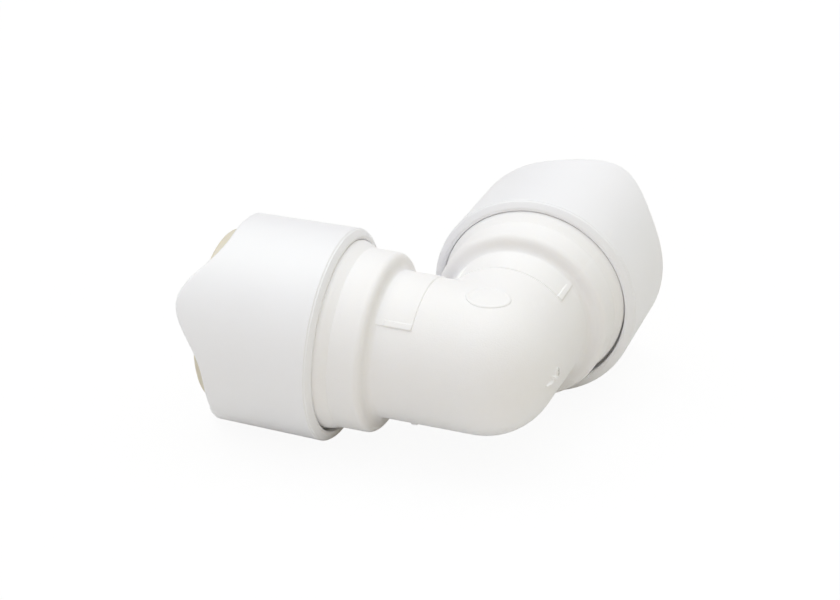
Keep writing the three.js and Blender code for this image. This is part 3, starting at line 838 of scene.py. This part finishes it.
def make_tooth(key, i):
    """Thin blade leaning in towards the pipe, set in the collet's wall."""
    root, tip = np.array([9.4, 26.8]), np.array([7.45, 25.9])       # radius, along
    half_width, thickness, corner, corner_cut = 2.25, 0.36, 0.4, 0.35
    cols, rows = 18, 6
    lean = (tip - root) / np.linalg.norm(tip - root)
    across = (-half_width + 2 * half_width * np.arange(cols + 1) / cols)[:, None]
    share = np.arange(rows + 1) / rows
    end = (root[0] - np.sqrt(tip[0] ** 2 - across ** 2)) / -lean[0]
    start = corner_cut * np.maximum(0.0, np.abs(across) - (half_width - corner)) / corner
    down = start + (end - start) * share
    half_thick = thickness / 2 * (1 - 0.45 * ease((share - 0.7) / 0.3))   # ground at the edge
    side = np.array([-1, 1])[:, None, None]
    radial = root[0] + lean[0] * down - lean[1] * side * half_thick
    along = root[1] + lean[1] * down + lean[0] * side * half_thick
    angle = np.arctan2(across, radial) + (i + 0.5) * FINGER_PITCH
    verts = place(key, np.hypot(radial, across), along, angle)
    index = np.arange(radial.size).reshape(radial.shape)
    rims = [sheet_rim(sheet) for sheet in index]
    edge = np.stack([np.roll(rims[1], -1), rims[1], rims[0], np.roll(rims[0], -1)], 1)
    quads = [grid_faces(index[0], False, False), grid_faces(index[1], False, False)[:, ::-1], edge]
    build(f"steel_tooth_{key}{i + 1}", verts, np.concatenate(quads), STEEL, "collet_" + key,
          replaces=f"grip_tooth_{key}{i + 1}", sharp=40)


# ------------------------------------------------------------------ seals and spacers
def ring_piece(name, key, profile, material, node, sharp=35):
    """A closed profile turned round a socket's axis."""
    angles = np.linspace(0, 2 * math.pi, 160, endpoint=False)[:, None]
    verts = place(key, profile[:, 0], profile[:, 1], angles)
    index = np.arange(verts.size // 3).reshape(verts.shape[:2])
    build(name, verts, grid_faces(index, True, True), material, "fitting_body",
          replaces=node, sharp=sharp)


def make_seal(key):
    node = "o_ring_" + key
    low, high = reach(node, key)
    section_r = (high - low) / 2
    turn = np.linspace(0, 2 * math.pi, 32, endpoint=False)
    # a low line of moulding flash stands round the ring's outer middle
    flash = 0.03 * (np.exp(-(turn / 0.12) ** 2) + np.exp(-((turn - 2 * math.pi) / 0.12) ** 2))
    profile = np.stack([8.72 + section_r * np.cos(turn) + flash,
                        (low + high) / 2 + section_r * np.sin(turn)], 1)
    ring_piece("rubber_seal_" + key, key, profile, RUBBER, node, sharp=60)


def make_spacer(key):
    node = "spacer_washer_" + key
    low, high = reach(node, key)
    inner_r, outer_r = 7.75, 9.85
    outline = rounded([(inner_r, low, 0.12, 3), (outer_r, low, 0.25, 4),
                       (outer_r, high, 0.12, 3), (inner_r, high, 0.45, 5)])
    ring_piece("spacer_ring_" + key, key, spaced(outline, 0.7, closed=True), SPACER, node)


# ------------------------------------------------------------------ camera, floor, light
AZIMUTH, ELEVATION, ROLL = (math.radians(degrees) for degrees in (
    19.399465611170537, 26.88494103714977, 1.1396201678387623))
DISTANCE, CROSS_RIGHT, CROSS_UP = 433.3745, 8.6549, -7.9428     # the crossing, in camera axes
SENSOR, FOCAL_LENGTH = 36.0, 142.75874829320016

FLOOR_HALF = 3.0                        # metres
FLOOR_GLOW, FLOOR_SHADE = 0.93, 0.07    # the floor's own light, and how much shadow shows on it

# Soft panels of light: azimuth and elevation in degrees, narrowness, colour times strength
PANELS = [
    (0, 90, 2.0, (0.43, 0.52, 0.55)),
    (0, 90, 10.0, (1.58, 1.73, 1.84)),
    (60, 55, 8.0, (0.97, 0.82, 0.73)),
    (180, 55, 8.0, (1.66, 1.52, 1.26)),
    (255, 55, 8.0, (0.00, 0.00, 0.24)),
    (30, 12, 6.0, (0.22, 0.26, 0.21)),
    (90, 12, 6.0, (0.36, 0.30, 0.33)),
    (150, 12, 6.0, (0.11, 0.05, 0.00)),
    (270, 12, 6.0, (1.01, 0.93, 0.76)),
    (330, 12, 6.0, (0.57, 0.41, 0.16)),
]


def make_camera():
    back = np.array([math.sin(AZIMUTH) * math.cos(ELEVATION),
                     -math.cos(AZIMUTH) * math.cos(ELEVATION), math.sin(ELEVATION)])
    level_right = np.array([math.cos(AZIMUTH), math.sin(AZIMUTH), 0.0])
    level_up = np.cross(back, level_right)
    right = math.cos(ROLL) * level_right + math.sin(ROLL) * level_up
    up = -math.sin(ROLL) * level_right + math.cos(ROLL) * level_up
    eye = CROSS + (back * DISTANCE - right * CROSS_RIGHT - up * CROSS_UP) * MM
    data = bpy.data.cameras.new("camera")
    camera = bpy.data.objects.new("camera", data)
    bpy.context.scene.collection.objects.link(camera)
    data.sensor_fit = "HORIZONTAL"
    data.sensor_width = SENSOR
    data.lens = FOCAL_LENGTH
    data.clip_start, data.clip_end = 0.02, 50.0
    camera.matrix_world = Matrix([*zip(right, up, back, eye), (0, 0, 0, 1)])
    bpy.context.scene.camera = camera


def floor_material():
    """White board to the object; to the camera overexposed, with only a trace of shadow."""
    material = bpy.data.materials.new("floor_white")
    material.use_nodes = True
    tree = material.node_tree
    tree.nodes.clear()

    def shader(kind, inputs=None):
        return add_node(tree, "ShaderNode" + kind, inputs).outputs[0]

    board = shader("BsdfDiffuse", {"Color": (0.8, 0.8, 0.8, 1)})
    trace = shader("BsdfDiffuse", {"Color": (FLOOR_SHADE, FLOOR_SHADE, FLOOR_SHADE, 1)})
    glow = shader("Emission", {"Strength": FLOOR_GLOW})
    seen = shader("AddShader", {0: trace, 1: glow})
    # a camera under the floor looks through it, so the underside can be seen
    backfacing = add_node(tree, "ShaderNodeNewGeometry").outputs["Backfacing"]
    one_sided = shader("MixShader", {0: backfacing, 1: seen, 2: shader("BsdfTransparent")})
    to_camera = add_node(tree, "ShaderNodeLightPath").outputs["Is Camera Ray"]
    picked = shader("MixShader", {0: to_camera, 1: board, 2: one_sided})
    add_node(tree, "ShaderNodeOutputMaterial", {"Surface": picked})
    return material


def make_floor():
    mesh = bpy.data.meshes.new("floor")
    corners = [(x * FLOOR_HALF, y * FLOOR_HALF, 0) for x, y in ((-1, -1), (1, -1), (1, 1), (-1, 1))]
    mesh.from_pydata(corners, [], [(0, 1, 2, 3)])
    floor = bpy.data.objects.new("floor", mesh)
    bpy.context.scene.collection.objects.link(floor)
    mesh.materials.append(floor_material())


def make_world():
    """A tent of soft panels: each is a wide smooth lobe of light round its own direction."""
    world = bpy.data.worlds.new("studio")
    bpy.context.scene.world = world
    world.use_nodes = True
    tree = world.node_tree
    tree.nodes.clear()

    def vector_math(operation, inputs):
        return add_node(tree, "ShaderNodeVectorMath", inputs, operation=operation)

    view = add_node(tree, "ShaderNodeTexCoord").outputs["Generated"]
    total = None
    for azimuth, elevation, narrowness, colour in PANELS:
        turn, lift = math.radians(azimuth), math.radians(elevation)
        towards = (math.cos(turn) * math.cos(lift), math.sin(turn) * math.cos(lift), math.sin(lift))
        facing = vector_math("DOT_PRODUCT", {0: view, 1: towards}).outputs["Value"]
        lobe = math_node(tree, "POWER", math_node(tree, "MAXIMUM", facing, 0.0), narrowness)
        light = vector_math("SCALE", {0: colour, "Scale": lobe}).outputs[0]
        if total is None:
            total = light
        else:
            total = vector_math("ADD", {0: total, 1: light}).outputs[0]
    background = add_node(tree, "ShaderNodeBackground", {"Color": total})
    add_node(tree, "ShaderNodeOutputWorld", {"Surface": background.outputs[0]})


# ------------------------------------------------------------------ assembly
make_camera()
make_body()
make_oval_pad()
make_gate_mark()
make_pip()
for key in "ab":
    make_cap(key)
    make_collet(key)
    for i in range(FINGERS):
        make_tooth(key, i)
    make_seal(key)
    make_spacer(key)
make_floor()
make_world()

scene = bpy.context.scene
scene.view_settings.view_transform = "Standard"
scene.view_settings.look = "None"
scene.view_settings.exposure = 0.0
scene.view_settings.gamma = 1.0
scene.cycles.use_denoising = True
